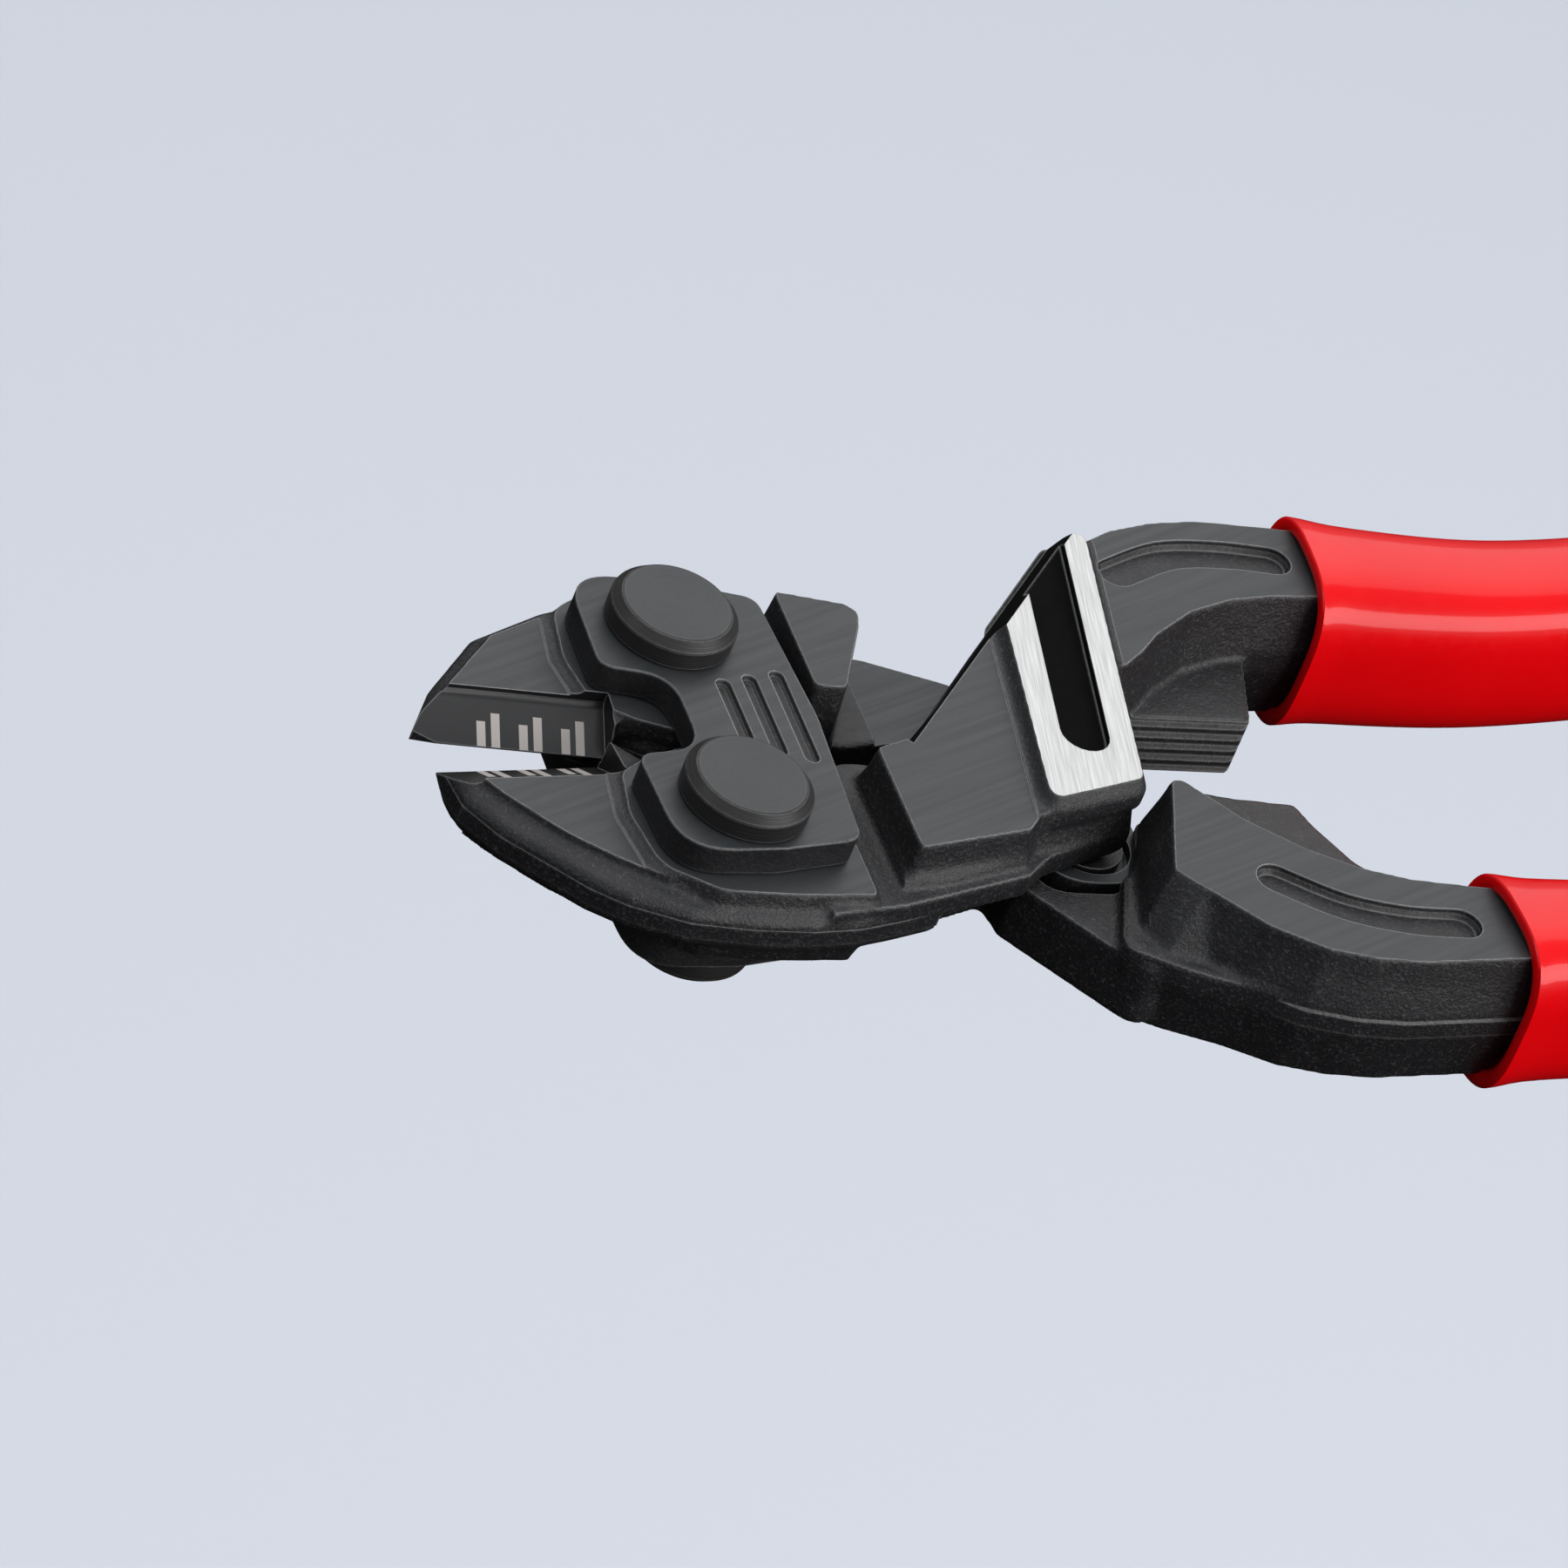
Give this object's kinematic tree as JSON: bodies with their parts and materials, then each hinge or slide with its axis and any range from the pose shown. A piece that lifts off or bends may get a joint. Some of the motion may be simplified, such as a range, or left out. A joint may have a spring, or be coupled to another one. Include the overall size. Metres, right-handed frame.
{
  "type": "bolt cutters",
  "caption": "Compact lever bolt cutters with two short blades on riveted cheek plates, a crossed toggle joint and dipped grips.",
  "frame": {"origin": "centre of the lower rivet's back end, in the plane of the back rivet heads", "axes": "+X from the blades towards the handle ends, +Y from the lower rivet to the upper rivet, +Z out of the front cheek plate"},
  "size_m": [0.1597, 0.0819, 0.017],
  "materials": {
    "forged_steel": "blackened, satin",
    "plate_steel": "blackened, satin",
    "turned_steel": "turned, satin",
    "dipped_vinyl": "glossy"
  },
  "bodies": {
    "fixed_side": {"fixed_half": "forged_steel", "joint_pin": "turned_steel", "upper_grip": "dipped_vinyl"},
    "plates": {"front_cheek_plate": "plate_steel", "back_cheek_plate": "plate_steel", "lower_rivet": "turned_steel", "upper_rivet": "turned_steel", "lower_rivet_collar": "turned_steel", "upper_rivet_collar": "turned_steel"},
    "jaw": {"moving_jaw": "forged_steel"},
    "handle": {"moving_handle": "forged_steel", "toggle_pin": "turned_steel", "lower_grip": "dipped_vinyl"}
  },
  "joints": [
    {"name": "handle_pivot", "type": "hinge", "parent": "fixed_side", "child": "handle", "pos_m": [0.0168, 0.0044, 0.0085], "axis": [0, 0, 1], "range_deg": [-14, 20.5]},
    {"name": "plate_pivot", "type": "hinge", "parent": "fixed_side", "child": "plates", "pos_m": [0, 0, 0.0085], "axis": [0, 0, 1], "range_deg": [-5.2, 7.6]},
    {"name": "jaw_pivot", "type": "hinge", "parent": "plates", "child": "jaw", "pos_m": [0, 0.0192, 0.0085], "axis": [0, 0, 1], "range_deg": [-1.55, 2.25]}
  ],
  "couplings": [
    {"joint": "plate_pivot", "follows": "handle_pivot", "ratio": 0.367},
    {"joint": "jaw_pivot", "follows": "handle_pivot", "ratio": 0.1067}
  ]
}
